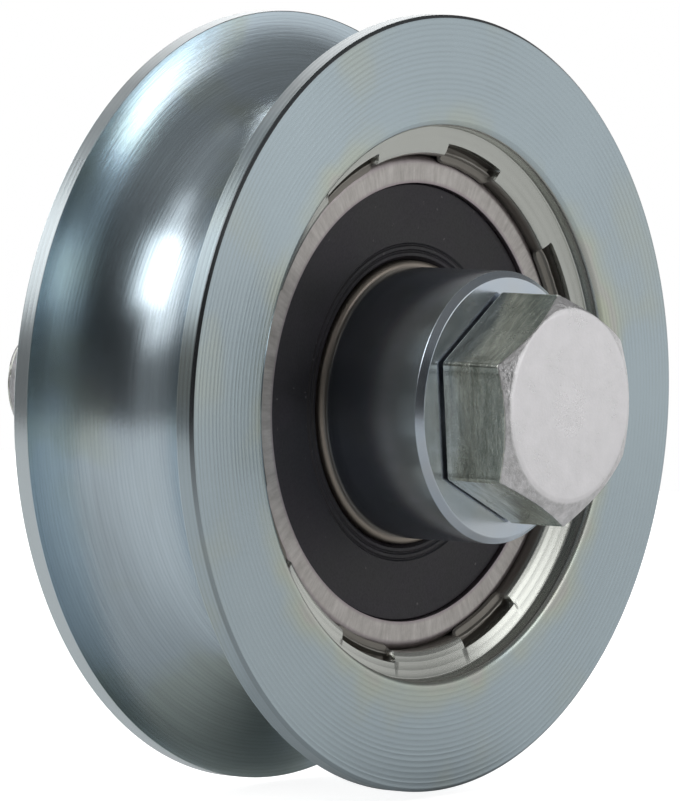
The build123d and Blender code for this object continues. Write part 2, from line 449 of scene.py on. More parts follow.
def dress(piece, body, slot, material, *replaced):
    piece.data.materials.clear()
    piece.data.materials.append(material)
    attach(piece, body)
    if replaced:
        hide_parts(*replaced)


# Wheel rim

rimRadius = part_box("wheel_rim")[1].x / mm
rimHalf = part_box("wheel_rim")[1].y / mm
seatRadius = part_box("bearing_outer_ring")[1].x / mm
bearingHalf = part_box("bearing_outer_ring")[1].y / mm

rimShape = {
    "grooveRadius": 6.1,
    "recessRadius": 17.85,
    "lipRound": 0.42,
    "landOuterY": -6.3,
    "landInnerY": -5.74,
    "seatEdgeRound": 0.45,
    "seatRings": (-5.2, -5.08),
    "shoulderRadius": 14.3,
    "shoulderChamfer": 0.4,
    "edgeChamfer": 0.18,
    "edgeSoftness": 0.07,
    "grooveSteps": 72,
}

stakes = {
    "count": 8,
    "firstAngle": 25.5,
    "span": 20.0,
    "endSlant": 0.7,
    "pocketRadius": 16.82,
    "pocketFloorY": -4.85,
    "burrRadius": 16.32,
    "burrY": -5.5,
    "tabRootRadius": 16.22,
    "tabY": -5.3,
    "tipRadius": 15.63,
    "unevenness": 0.05,
    "waviness": 0.35,             # how fast the unevenness changes along a stake
    "endReach": 1.6,              # degrees at each end over which a stake tapers
    "wobbles": ((1.0, -0.15), (1.0, 0.1), (0.6, 0.1)),     # unevenness and taper of floor, burr and tip
    "seed": 8,
    "seedRange": 9,
    "stationsInside": 16,
    "stationsBetween": 18,
}


# Shader groups

def newGroup(name, inputs, outputs):
    group = bpy.data.node_groups.new(name, "ShaderNodeTree")
    for label, kind, value in inputs:
        socket = group.interface.new_socket(label, in_out="INPUT", socket_type=kind)
        if value is not None:
            socket.default_value = value
    for label, kind in outputs:
        group.interface.new_socket(label, in_out="OUTPUT", socket_type=kind)
    return group, group.nodes.new("NodeGroupInput"), group.nodes.new("NodeGroupOutput")


def placeGroup(tree, group, **values):
    # a socket such as Patch Scale is written patchScale
    node = tree.nodes.new("ShaderNodeGroup")
    node.node_tree = group
    for socket in node.inputs:
        value = values.get(socket.name[0].lower() + socket.name[1:].replace(" ", ""))
        if isinstance(value, bpy.types.NodeSocket):
            plug(tree, value, socket)
        elif value is not None:
            socket.default_value = value
    return node.outputs


aroundSize, acrossSize = 2.5, 6.0


def makeAxisPlace():
    # where a point lies about the spin axis, in millimetres. Around changes only slowly along the
    # turning direction, so noise read from it makes long marks round the axis.
    group, given, made = newGroup("axisPlace", [], [
        ("Radius", "NodeSocketFloat"), ("Along", "NodeSocketFloat"), ("Angle", "NodeSocketFloat"),
        ("Millimetres", "NodeSocketVector"), ("Around", "NodeSocketVector")])
    coordinates = group.nodes.new("ShaderNodeTexCoord")
    scaled = addNode(group, "ShaderNodeVectorMath", operation="SCALE")
    scaled.inputs["Scale"].default_value = 1000.0
    plug(group, coordinates.outputs["Object"], scaled.inputs[0])
    x, y, z = partsOf(group, scaled.outputs[0])
    radius = maths(group, "SQRT", total(group, product(group, x, x), product(group, z, z)))
    angle = maths(group, "ARCTAN2", z, x)
    around = vectorOf(group, product(group, maths(group, "COSINE", angle), aroundSize),
                      product(group, maths(group, "SINE", angle), aroundSize),
                      product(group, total(group, radius, y), acrossSize))
    for socket, source in zip(made.inputs, (radius, y, angle, scaled.outputs[0], around)):
        plug(group, source, socket)
    return group


def makeTurningMarks():
    # rings left by the lathe tool, counted by Across in millimetres
    group, given, made = newGroup("turningMarks", [
        ("Across", "NodeSocketFloat", 0.0), ("Pitch", "NodeSocketFloat", 0.35),
        ("Unevenness", "NodeSocketFloat", 0.5)],
        [("Height", "NodeSocketFloat"), ("Furrow", "NodeSocketFloat")])
    rings = maths(group, "DIVIDE", given.outputs["Across"], given.outputs["Pitch"])
    slow = addNode(group, "ShaderNodeTexNoise", noise_dimensions="1D", Scale=0.35, Detail=2.0, Roughness=0.6)
    fine = addNode(group, "ShaderNodeTexNoise", noise_dimensions="1D", Scale=4.3, Detail=2.0, Roughness=0.6)
    plug(group, rings, slow.inputs["W"])
    plug(group, rings, fine.inputs["W"])
    turn = product(group, total(group, rings, product(group, slow.outputs["Fac"], 0.5)), math.pi)
    # each pass of the tool leaves a shallow round furrow with a sharp ridge beside it
    furrow = maths(group, "SUBTRACT", 1.0, maths(group, "ABSOLUTE", maths(group, "SINE", turn)))
    depth = rangeOf(group, slow.outputs["Fac"], 0.25, 0.75, 0.55, 1.0)
    height = weighted(group, (furrow, depth), (fine.outputs["Fac"], given.outputs["Unevenness"]))
    plug(group, height, made.inputs["Height"])
    plug(group, furrow, made.inputs["Furrow"])
    return group


def makeCloudyTone():
    # slow patches, small specks and a scatter of little dents that break up a plain surface
    group, given, made = newGroup("cloudyTone", [
        ("Vector", "NodeSocketVector", None), ("Patch Scale", "NodeSocketFloat", 0.12),
        ("Speck Scale", "NodeSocketFloat", 3.0)],
        [("Patches", "NodeSocketFloat"), ("Specks", "NodeSocketFloat"), ("Dents", "NodeSocketFloat")])
    patches = addNode(group, "ShaderNodeTexNoise", Detail=3.0, Roughness=0.55)
    specks = addNode(group, "ShaderNodeTexNoise", Detail=4.0, Roughness=0.65)
    for node, scale in ((patches, "Patch Scale"), (specks, "Speck Scale")):
        plug(group, given.outputs["Vector"], node.inputs["Vector"])
        plug(group, given.outputs[scale], node.inputs["Scale"])
    cells = addNode(group, "ShaderNodeTexVoronoi", Scale=0.9, Randomness=1.0)
    plug(group, given.outputs["Vector"], cells.inputs["Vector"])
    # not every cell has a dent: a fast wave through the patches chooses them
    wave = maths(group, "FRACT", product(group, patches.outputs["Fac"], 37.0))
    chosen = maths(group, "GREATER_THAN", wave, 0.6)
    dents = product(group, rangeOf(group, cells.outputs["Distance"], 0.03, 0.12, 1.0, 0.0), chosen)
    plug(group, rangeOf(group, patches.outputs["Fac"], 0.3, 0.7), made.inputs["Patches"])
    plug(group, rangeOf(group, specks.outputs["Fac"], 0.3, 0.75), made.inputs["Specks"])
    plug(group, dents, made.inputs["Dents"])
    return group


def makeStreaks():
    # noise drawn out along one direction of the vector, such as grinding or forging lines
    group, given, made = newGroup("drawnStreaks", [
        ("Vector", "NodeSocketVector", None), ("Stretch", "NodeSocketVector", (1.0, 1.0, 1.0)),
        ("Scale", "NodeSocketFloat", 1.0)],
        [("Streaks", "NodeSocketFloat")])
    drawn = addNode(group, "ShaderNodeVectorMath", operation="MULTIPLY")
    plug(group, given.outputs["Vector"], drawn.inputs[0])
    plug(group, given.outputs["Stretch"], drawn.inputs[1])
    lines = addNode(group, "ShaderNodeTexNoise", Detail=5.0, Roughness=0.7)
    plug(group, drawn.outputs[0], lines.inputs["Vector"])
    plug(group, given.outputs["Scale"], lines.inputs["Scale"])
    plug(group, rangeOf(group, lines.outputs["Fac"], 0.25, 0.75, smooth=False), made.inputs["Streaks"])
    return group


def makeChromateTint():
    # the faint colours of blue passivated zinc: cool grey, with straw and rose where the film is thicker
    group, given, made = newGroup("chromateTint", [
        ("Film", "NodeSocketFloat", 0.5), ("Cool", "NodeSocketColor", None),
        ("Straw", "NodeSocketColor", None), ("Rose", "NodeSocketColor", None)],
        [("Color", "NodeSocketColor")])
    film = given.outputs["Film"]
    toRose = product(group, rangeOf(group, film, 0.72, 0.84, 0.0, 0.5),
                     rangeOf(group, film, 0.84, 0.98, 1.0, 0.0))
    straw = mixColour(group, rangeOf(group, film, 0.35, 0.95), given.outputs["Cool"], given.outputs["Straw"])
    plug(group, mixColour(group, toRose, straw, given.outputs["Rose"]), made.inputs["Color"])
    return group


axisPlace = makeAxisPlace()
turningMarks = makeTurningMarks()
cloudyTone = makeCloudyTone()
drawnStreaks = makeStreaks()
chromateTint = makeChromateTint()
print("shader groups made")


# Materials

def newSurface(name, finish, **fixed):
    # a material with its constants set, and the two groups that every finish here uses
    material = bpy.data.materials.new(name)
    material.use_nodes = True
    tree = material.node_tree
    shader = tree.nodes["Principled BSDF"]
    for socket, value in fixed.items():
        shader.inputs[socket].default_value = value
    place = placeGroup(tree, axisPlace)
    cloud = placeGroup(tree, cloudyTone, vector=place["Millimetres"], patchScale=finish["patchScale"],
                       speckScale=finish["speckScale"])
    return material, tree, shader.inputs, place, cloud


def bumpFrom(tree, surface, height, strength, millimetres):
    bump = addNode(tree, "ShaderNodeBump", Strength=strength, Distance=millimetres * mm)
    plug(tree, height, bump.inputs["Height"])
    plug(tree, bump.outputs[0], surface["Normal"])


def streaksOf(tree, vector, stretch, scale):
    return placeGroup(tree, drawnStreaks, vector=vector, stretch=stretch, scale=scale)["Streaks"]


zinc = {
    "cool": (0.46, 0.545, 0.585, 1.0),
    "straw": (0.54, 0.575, 0.475, 1.0),
    "rose": (0.54, 0.52, 0.53, 1.0),
    # painted shade for the parts deeper than the land
    "bare": (0.26, 0.245, 0.22),
    # painted shade for the small chamfer at the front
    "edge": (0.15, 0.16, 0.17),
    # painted light for the outside of the rear flange
    "strip": (0.66, 0.73, 0.76),
    "land": (0.60, 0.615, 0.575),
}

rimFinish = {
    "facePitch": 0.35,            # millimetres between turning marks
    "groovePitch": 0.24,
    "faceUnevenness": 0.10,
    "grooveUnevenness": 1.2,
    "faceDepth": 1.0,
    "grooveDepth": 0.16,
    "scuffDepth": 0.9,
    "scuffsAcross": 3.0,
    "landDepth": 1.2,
    "speckDepth": 0.03,
    "dentDepth": -0.2,
    "bump": (0.5, 0.014),         # strength, and depth in millimetres
    "patchScale": 0.085,
    "speckScale": 4.0,
    "filmInPatches": 0.62,
    "filmByRecess": 0.40,
    "filmInGroove": 0.45,
    "groove": (0.625, 0.73, 0.80),
    "smudge": (0.60, 0.68, 0.62),
    # a painted dark reflection on the groove's rear flank, and how much of it shows
    "stain": (0.20, 0.25, 0.28),
    "stainShare": 0.8,
    # painted shade round the top of the flanges' outside, and the roughness added there
    "dull": (0.12, 0.135, 0.14),
    "dullRoughness": 0.20,
    "brightest": 1.03,
    # how much painted sheen picks out the face's turning marks
    "furrowTone": 0.16,
    "roughness": 0.24,
    "faceRoughness": 0.25,
    "speckRoughness": 0.02,
    "insideRoughness": 0.25,
}

# where each mark lies: radius and along are in millimetres, angles in radians from the right by way of the
# top, and heights go up to aroundSize at the top
rimPlaces = {
    "grooveBottom": 18.7,
    "margin": 0.05,
    "landMargin": 0.1,
    "filmFades": (17.9, 20.8),
    "seatAlong": (-5.70, -5.42),
    "seatRadius": (16.9, 17.1),
    "seatEnd": 4.0,
    # where the painted dark reflection lies in the groove
    "stainAlong": (1.2, 3.6),
    "stainBegins": (2.25, 2.62),
    "stainEnds": (2.85, 3.12),
    # where the painted shade on the front chamfer lies
    "chamferMargin": 0.02,
    "chamferFades": 0.1,
    "chamferHeight": (-0.9, 0.1),
    # heights where the painted shade round the top begins and is full
    "dullHeight": (1.5, 2.1),
}


def makeRimZinc():
    f, p = rimFinish, rimPlaces
    material, tree, surface, place, cloud = newSurface(
        "rimZinc", f, **{"Metallic": 1.0, "Anisotropic": 0.6, "Anisotropic Rotation": 0.25})
    radius, along, angle = place["Radius"], place["Along"], place["Angle"]
    aroundX, aroundY = partsOf(tree, place["Around"])[:2]
    inFront = maths(tree, "LESS_THAN", along, 0.0)
    fromMiddle = maths(tree, "ABSOLUTE", along)
    outside = maths(tree, "GREATER_THAN", radius, rimRadius - p["margin"])

    # in the groove the marks are counted along its round section, elsewhere along the face or the rim
    depthIn = maths(tree, "SUBTRACT", rimRadius, radius)
    tube = product(tree, maths(tree, "ARCTAN2", along, depthIn), rimShape["grooveRadius"])
    inGroove = product(tree, maths(tree, "GREATER_THAN", radius, p["grooveBottom"]),
                       maths(tree, "LESS_THAN", fromMiddle, rimShape["grooveRadius"] + p["margin"]))
    faceMarks = placeGroup(tree, turningMarks, across=total(tree, radius, along), pitch=f["facePitch"],
                           unevenness=f["faceUnevenness"])
    grooveMarks = placeGroup(tree, turningMarks, across=tube, pitch=f["groovePitch"],
                             unevenness=f["grooveUnevenness"])
    onLand = product(tree, inFront,
                     maths(tree, "LESS_THAN", radius, rimShape["recessRadius"] + p["landMargin"]))
    faceHeight = product(tree, faceMarks["Height"], valueBy(tree, onLand, f["faceDepth"], f["landDepth"]))
    # polishing lines that run a short way round the groove
    roundGroove = vectorOf(tree, aroundX, aroundY, product(tree, tube, f["scuffsAcross"]))
    scuffs = streaksOf(tree, roundGroove, (1.0, 1.0, 1.0), 1.0)
    grooveHeight = weighted(tree, (grooveMarks["Height"], f["grooveDepth"]), (scuffs, f["scuffDepth"]))
    notGroove = maths(tree, "SUBTRACT", 1.0, inGroove)
    height = weighted(tree, (faceHeight, notGroove), (grooveHeight, inGroove),
                      (cloud["Specks"], f["speckDepth"]), (cloud["Dents"], f["dentDepth"]))
    bumpFrom(tree, surface, height, *f["bump"])
    # the marks run round the axis, so the shine spreads across them
    turned = addNode(tree, "ShaderNodeTangent", direction_type="RADIAL", axis="Y")
    plug(tree, turned.outputs[0], surface["Tangent"])

    # the film is thicker beside the recess and wanders over the face
    nearRecess = product(tree, rangeOf(tree, radius, *p["filmFades"], f["filmByRecess"], 0.0),
                         maths(tree, "GREATER_THAN", radius, rimShape["recessRadius"]))
    film = total(tree, product(tree, cloud["Patches"], f["filmInPatches"]), nearRecess)
    film = product(tree, film, valueBy(tree, inGroove, 1.0, f["filmInGroove"]))
    tint = placeGroup(tree, chromateTint, film=film, cool=zinc["cool"], straw=zinc["straw"],
                      rose=zinc["rose"])
    # painted shade: the bearing seat, the pockets and the tabs' roots, all deeper than the land, are painted
    # darker; they are also rougher
    inside = product(tree, rangeOf(tree, along, *p["seatAlong"]),
                     rangeOf(tree, radius, *p["seatRadius"], 1.0, 0.0),
                     maths(tree, "LESS_THAN", along, p["seatEnd"]))
    colour = mixColour(tree, onLand, tint[0], zinc["land"])
    colour = mixColour(tree, inside, colour, zinc["bare"])
    # painted sheen: in patches the face's turning marks are painted darker along each furrow, as light would
    # pick them out
    paintedFurrowSheen = product(tree, faceMarks["Furrow"], cloud["Patches"], f["furrowTone"])
    colour = shaded(tree, colour, maths(tree, "SUBTRACT", f["brightest"], paintedFurrowSheen))
    # painted light: the outside of the rear flange is painted paler
    onPaintedLightStrip = product(tree, outside, maths(tree, "GREATER_THAN", along, 0.0))
    colour = mixColour(tree, onPaintedLightStrip, colour, zinc["strip"])
    # the groove has a paler tone with smudges, and a painted dark reflection on its rear flank, at the left
    # and above the middle
    lines = product(tree, rangeOf(tree, grooveMarks["Furrow"], 0.2, 0.9, 1.02, 0.95),
                    rangeOf(tree, scuffs, 0.1, 0.9, 1.03, 0.93))
    stain = product(tree, rangeOf(tree, along, *p["stainAlong"]), rangeOf(tree, angle, *p["stainBegins"]),
                    rangeOf(tree, angle, *p["stainEnds"], 1.0, 0.0), f["stainShare"])
    clean = mixColour(tree, rangeOf(tree, cloud["Patches"], 0.45, 0.95, 0.0, 0.7), f["groove"], f["smudge"])
    clean = mixColour(tree, stain, clean, f["stain"])
    colour = mixColour(tree, inGroove, colour, shaded(tree, clean, lines))
    # painted shade: the small chamfer at the front is painted dark, least towards its bottom
    chamfer = rimShape["edgeChamfer"]
    chamferEnd = chamfer - rimHalf
    atEdge = product(tree, maths(tree, "GREATER_THAN", radius, rimRadius - chamfer - p["chamferMargin"]),
                     rangeOf(tree, along, chamferEnd, chamferEnd + p["chamferFades"], 0.9, 0.0),
                     rangeOf(tree, aroundY, *p["chamferHeight"], 0.2, 1.0))
    colour = mixColour(tree, atEdge, colour, zinc["edge"])
    # painted shade: the outside of both flanges is painted dark round the top, and it is rougher there
    dull = product(tree, outside, rangeOf(tree, aroundY, *p["dullHeight"]))
    plug(tree, mixColour(tree, dull, colour, f["dull"]), surface["Base Color"])

    rough = total(tree, valueBy(tree, inGroove, f["faceRoughness"], f["roughness"]),
                  weighted(tree, (cloud["Specks"], f["speckRoughness"]), (inside, f["insideRoughness"]),
                           (dull, f["dullRoughness"])))
    plug(tree, rough, surface["Roughness"])
    return material


bushFinish = {
    "pitch": 0.16,
    "unevenness": 1.4,
    "markDepth": 0.05,
    "dentDepth": -0.35,
    "scratchDepth": 0.12,
    "speckDepth": 0.03,
    "bump": (0.5, 0.02),
    "patchScale": 0.22,
    "speckScale": 3.0,
    "scratches": ((1.0, 0.25, 1.0), 1.6),     # stretch and scale
    "colour": (0.58, 0.66, 0.75),
    "straw": (0.64, 0.67, 0.68),
    "strawShare": 0.6,
    "roughness": 0.19,
    "scratchRoughness": 0.05,
    "speckRoughness": 0.02,
}


def makeBushZinc():
    f = bushFinish
    material, tree, surface, place, cloud = newSurface("bushZinc", f, Metallic=1.0)
    across = total(tree, place["Radius"], place["Along"])
    marks = placeGroup(tree, turningMarks, across=across, pitch=f["pitch"], unevenness=f["unevenness"])
    scratches = streaksOf(tree, place["Millimetres"], *f["scratches"])
    height = weighted(tree, (marks["Height"], f["markDepth"]), (cloud["Dents"], f["dentDepth"]),
                      (scratches, f["scratchDepth"]), (cloud["Specks"], f["speckDepth"]))
    bumpFrom(tree, surface, height, *f["bump"])
    straw = product(tree, cloud["Patches"], f["strawShare"])
    plug(tree, mixColour(tree, straw, f["colour"], f["straw"]), surface["Base Color"])
    rough = weighted(tree, (scratches, f["scratchRoughness"]), (cloud["Specks"], f["speckRoughness"]))
    plug(tree, total(tree, rough, f["roughness"]), surface["Roughness"])
    return material


boltFinish = {
    "top": (0.95, 0.935, 0.955),
    "blotch": (0.68, 0.68, 0.68),
    "blotchShare": 0.45,
    "side": (0.96, 0.98, 0.90),
    "dark": (0.30, 0.325, 0.29),
    "bevel": (0.50, 0.50, 0.50),
    "topFacing": (0.30, 0.62),    # how far a face turns to the axis before it counts as the top
    "flatFacing": (0.90, 0.985),
    "lengthwise": ((0.3, 1.5, 0.3), 1.3),     # stretch and scale
    "blotches": ((1.0, 1.0, 1.0), 0.55),
    "forged": ((0.8, 0.8, 0.8), 1.9),
    "scuffRadius": (0.4, 2.4),
    "topRoughness": 0.38,
    "sideRoughness": 0.26,
    "blotchRoughness": -0.16,
    "speckRoughness": 0.08,
    "scuffRoughness": -0.22,
    "streakDepth": 0.9,
    "speckDepth": 0.28,
    "dentDepth": -0.6,
    "blotchDepth": 0.5,
    "forgedDepth": 4.5,
    "bump": (0.5, 0.03),
    "patchScale": 0.28,
    "speckScale": 5.0,
}


def makeBoltZinc():
    f = boltFinish
    material, tree, surface, place, cloud = newSurface("boltZinc", f, Metallic=1.0)
    coordinates = tree.nodes.new("ShaderNodeTexCoord")
    facing = maths(tree, "ABSOLUTE", partsOf(tree, coordinates.outputs["Normal"])["Y"])
    onTop = rangeOf(tree, facing, *f["topFacing"])
    lengthwise, blotches, forged = [streaksOf(tree, place["Millimetres"], *f[name])
                                    for name in ("lengthwise", "blotches", "forged")]
    side = mixColour(tree, lengthwise, f["dark"], f["side"])
    top = mixColour(tree, product(tree, blotches, f["blotchShare"]), f["top"], f["blotch"])
    # the bevel round the top keeps rough marks from the forging
    forgedBevel = product(tree, onTop, rangeOf(tree, facing, *f["flatFacing"], 1.0, 0.0), forged)
    top = mixColour(tree, forgedBevel, top, f["bevel"])
    plug(tree, mixColour(tree, onTop, side, top), surface["Base Color"])
    # and the middle of the top has a scuff that shines more
    scuff = product(tree, rangeOf(tree, place["Radius"], *f["scuffRadius"], 1.0, 0.0), onTop, forged)
    rough = weighted(tree, (blotches, f["blotchRoughness"]), (cloud["Specks"], f["speckRoughness"]),
                     (scuff, f["scuffRoughness"]))
    rough = total(tree, valueBy(tree, onTop, f["sideRoughness"], f["topRoughness"]), rough)
    plug(tree, rough, surface["Roughness"])
    sideStreaks = product(tree, lengthwise, maths(tree, "SUBTRACT", 1.0, onTop))
    height = weighted(tree, (sideStreaks, f["streakDepth"]), (cloud["Specks"], f["speckDepth"]),
                      (cloud["Dents"], f["dentDepth"]), (blotches, f["blotchDepth"]),
                      (forgedBevel, f["forgedDepth"]))
    bumpFrom(tree, surface, height, *f["bump"])
    return material


ringFinish = {
    "colour": (0.33, 0.31, 0.29),
    "pale": (0.72, 0.69, 0.665),
    "edge": (0.36, 0.30, 0.33),
    "inner": (0.34, 0.30, 0.26),
    "roughness": 0.36,
    "groundRoughness": 0.10,
    "speckRoughness": 0.06,
    "linesAround": 15.0,
    "linesSlant": 6.0,
    "ground": ((2.4, 0.35, 1.0), 1.2),        # stretch and scale
    "worn": ((0.5, 0.5, 1.0), 1.2),
    "groundShare": 0.6,
    "innerRingEnds": 13.0,
    "innerEdge": (14.15, 14.45, 0.75, 0.0),   # radii, and how much of the edge colour shows at each
    "outerEdge": (15.25, 15.6, 0.0, 0.55),
    "groundDepth": 0.5,
    "speckDepth": 0.2,
    "bump": (0.4, 0.012),
    "patchScale": 0.3,
    "speckScale": 5.0,
}


def makeRingSteel():
    f = ringFinish
    material, tree, surface, place, cloud = newSurface("ringSteel", f, Metallic=1.0)
    radius, angle = place["Radius"], place["Angle"]
    # the grindstone's lines run across the narrow face
    polar = vectorOf(tree, product(tree, angle, f["linesAround"]),
                     total(tree, radius, product(tree, angle, f["linesSlant"])))
    ground, worn = [streaksOf(tree, polar, *f[name]) for name in ("ground", "worn")]
    tone = weighted(tree, (ground, f["groundShare"]), (worn, 1 - f["groundShare"]))
    body = mixColour(tree, tone, f["colour"], f["pale"])
    outerRing = maths(tree, "GREATER_THAN", radius, f["innerRingEnds"])
    atEdge = maths(tree, "MAXIMUM", rangeOf(tree, radius, *f["innerEdge"]),
                   rangeOf(tree, radius, *f["outerEdge"]))
    colour = mixColour(tree, product(tree, atEdge, outerRing), body, f["edge"])
    plug(tree, mixColour(tree, outerRing, f["inner"], colour), surface["Base Color"])
    rough = weighted(tree, (ground, f["groundRoughness"]), (cloud["Specks"], f["speckRoughness"]))
    plug(tree, total(tree, rough, f["roughness"]), surface["Roughness"])
    height = weighted(tree, (ground, f["groundDepth"]), (cloud["Specks"], f["speckDepth"]))
    bumpFrom(tree, surface, height, *f["bump"])
    return material


rubberFinish = {
    "dark": (0.011, 0.010, 0.013),
    "pale": (0.021, 0.017, 0.025),
    "dust": (0.16, 0.15, 0.15),
    "dustShare": 0.5,
    "roughness": 0.40,
    "speckRoughness": 0.14,
    "patchRoughness": 0.08,
    "pitch": 0.22,
    "unevenness": 1.5,
    "ringDepth": 0.25,
    "speckDepth": 0.5,
    "bump": (0.5, 0.015),
    "patchScale": 0.25,
    "speckScale": 6.0,
}


def makeSealRubber():
    f = rubberFinish
    material, tree, surface, place, cloud = newSurface("sealRubber", f, Metallic=0.0)
    rings = placeGroup(tree, turningMarks, across=place["Radius"], pitch=f["pitch"],
                       unevenness=f["unevenness"])
    body = mixColour(tree, cloud["Patches"], f["dark"], f["pale"])
    dust = product(tree, cloud["Dents"], f["dustShare"])
    plug(tree, mixColour(tree, dust, body, f["dust"]), surface["Base Color"])
    rough = weighted(tree, (cloud["Specks"], f["speckRoughness"]), (cloud["Patches"], f["patchRoughness"]))
    plug(tree, total(tree, rough, f["roughness"]), surface["Roughness"])
    height = weighted(tree, (rings["Height"], f["ringDepth"]), (cloud["Specks"], f["speckDepth"]))
    bumpFrom(tree, surface, height, *f["bump"])
    return material


plainFinish = {
    "ballSteel": {"pale": (0.76, 0.76, 0.75), "dark": (0.72, 0.72, 0.72), "roughness": 0.05, "bump": 0.05},
    "cageSteel": {"pale": (0.60, 0.58, 0.54), "dark": (0.48, 0.46, 0.42), "roughness": 0.30, "bump": 0.25},
    "speckRoughness": 0.08,
    "bumpDepth": 0.01,
    "patchScale": 0.4,
    "speckScale": 4.0,
}


def makePlainSteel(name):
    f, own = plainFinish, plainFinish[name]
    material, tree, surface, place, cloud = newSurface(name, f, Metallic=1.0)
    plug(tree, mixColour(tree, cloud["Patches"], own["dark"], own["pale"]), surface["Base Color"])
    rough = total(tree, product(tree, cloud["Specks"], f["speckRoughness"]), own["roughness"])
    plug(tree, rough, surface["Roughness"])
    bumpFrom(tree, surface, cloud["Specks"], own["bump"], f["bumpDepth"])
    return material


rimZinc = makeRimZinc()
bushZinc = makeBushZinc()
boltZinc = makeBoltZinc()
ringSteel = makeRingSteel()
sealRubber = makeSealRubber()
ballSteel = makePlainSteel("ballSteel")
cageSteel = makePlainSteel("cageSteel")
print("materials made")


# Rim mesh

def rimOutline(inStake, wobble):
    s, k = rimShape, stakes
    half, rim, groove, recess = rimHalf, rimRadius, s["grooveRadius"], s["recessRadius"]
    soft, cut, shoulder = s["edgeSoftness"], s["edgeChamfer"], s["shoulderRadius"]
    outline = softened([
        (seatRadius, bearingHalf, 0.0),
        (shoulder, bearingHalf, 0.1),
        (shoulder, half - s["shoulderChamfer"], 0.12),
        (shoulder + s["shoulderChamfer"], half, 0.12),
        (rim - cut, half, soft),
        (rim, half - cut, soft),
        (rim, groove, 0.0),
    ], closed=False)[:-1]
    outline += arcPoints((rim, 0), groove, 90, 270, s["grooveSteps"])
    slope = (s["landInnerY"] - s["landOuterY"]) / (recess - seatRadius)

    def landY(radius):
        return s["landOuterY"] + (recess - radius) * slope

    pocket = k["pocketRadius"]
    if inStake:
        floorShift, burrShift, tipShift = wobble
        floorY, burrY, tabY = k["pocketFloorY"] + floorShift, k["burrY"] + burrShift, k["tabY"]
        burr, tip = k["burrRadius"], k["tipRadius"] + tipShift
        inner = [
            (pocket, landY(pocket), 0.03),
            (pocket - 0.04, floorY - 0.12, 0.08),
            (burr + 0.12, floorY, 0.08),
            (burr, burrY, 0.03),
            (burr - 0.1, burrY + 0.03, 0.03),
            (k["tabRootRadius"] - 0.1, tabY + 0.5 * burrShift, 0.05),
            (tip + 0.1, tabY + 0.05, 0.06),
            (tip, -bearingHalf - 0.01, 0.03),
        ]
    else:
        # the same number of corners as a stake has
        edge = s["seatEdgeRound"]
        inner = [(radius, landY(radius), 0.02) for radius in (pocket, pocket - 0.12, pocket - 0.26)] + [
            (seatRadius + 0.80 * edge, landY(seatRadius + 0.8 * edge), 0.1),
            (seatRadius + 0.24 * edge, landY(seatRadius) + 0.06 * edge, 0.1),
            (seatRadius, landY(seatRadius) + 0.72 * edge, 0.1),
        ] + [(seatRadius, y, 0.02) for y in s["seatRings"]]
    frontCorners = [
        (rim, -groove, 0.0),
        (rim, -half + cut, soft),
        (rim - cut, -half, soft),
        (recess, -half, s["lipRound"]),
        (recess, s["landOuterY"], 0.12),
    ] + inner + [(seatRadius, -bearingHalf, 0.0)]
    return outline + softened(frontCorners, closed=False)[1:]


def makeRim():
    k = stakes
    chance = random.Random(k["seed"])
    step = 360 / k["count"]
    plain = rimOutline(False, (0, 0, 0))
    sections = []
    for i in range(k["count"]):
        first = k["firstAngle"] + i * step - k["span"] / 2
        seeds = [chance.uniform(-k["seedRange"], k["seedRange"]) for n in range(3)]
        for n in range(k["stationsInside"] + 1):
            t = n / k["stationsInside"]
            nearEnd = min(t, 1 - t) * k["span"]
            ending = max(0.0, 1 - nearEnd / k["endReach"]) ** 2
            along = k["waviness"] * k["span"] * t
            waves = [k["unevenness"] * noise.noise(Vector((seed, along, 0))) for seed in seeds]
            wobble = [wave * share + taper * ending for wave, (share, taper) in zip(waves, k["wobbles"])]
            angle = first + k["endSlant"] + (k["span"] - 2 * k["endSlant"]) * t
            sections.append((angle, rimOutline(True, wobble)))
        for n in range(k["stationsBetween"] + 1):
            t = n / k["stationsBetween"]
            sections.append((first + k["span"] + (step - k["span"]) * t, plain))
    return turnedBody("rim", sections)


rim = makeRim()
dress(rim, "wheel", "zinc_plated_steel", rimZinc, "wheel_rim")
print("rim made")


# Bearing rings and seals

bearing = {
    "shoulderOuter": 12.85,
    "shoulderInner": 9.15,
    "trackRadius": 3.096,
    "outerTrackBottom": 14.0,
    "innerTrackBottom": 8.0,
    "sealSeat": 14.14,
    "sealGroove": (0.26, 0.45, 1.15),     # the seat's groove: depth, and where it starts and ends
    "outerCorner": 0.6,
    "innerCorner": 0.3,
    "bore": 6.0,
    "trackSteps": 24,
    "stations": 240,
}


def makeRing(name, node, body, corners, shoulder, centre):
    # corners go from the middle of the plain side round the rear to the track. The front half mirrors them.
    b = bearing
    rear = softened(corners + [(shoulder, 1.0, 0.0)], closed=False)[:-1]
    front = [(r, -y) for r, y in reversed(rear)]
    reach = math.degrees(math.acos(abs(shoulder - centre) / b["trackRadius"]))
    first, last = (reach, -reach) if shoulder > centre else (180 - reach, 180 + reach)
    track = arcPoints((centre, 0), b["trackRadius"], first, last, b["trackSteps"])
    ring = evenlyTurned(name, rear + track + front[:-1], b["stations"])
    dress(ring, body, "bearing_steel", ringSteel, node)


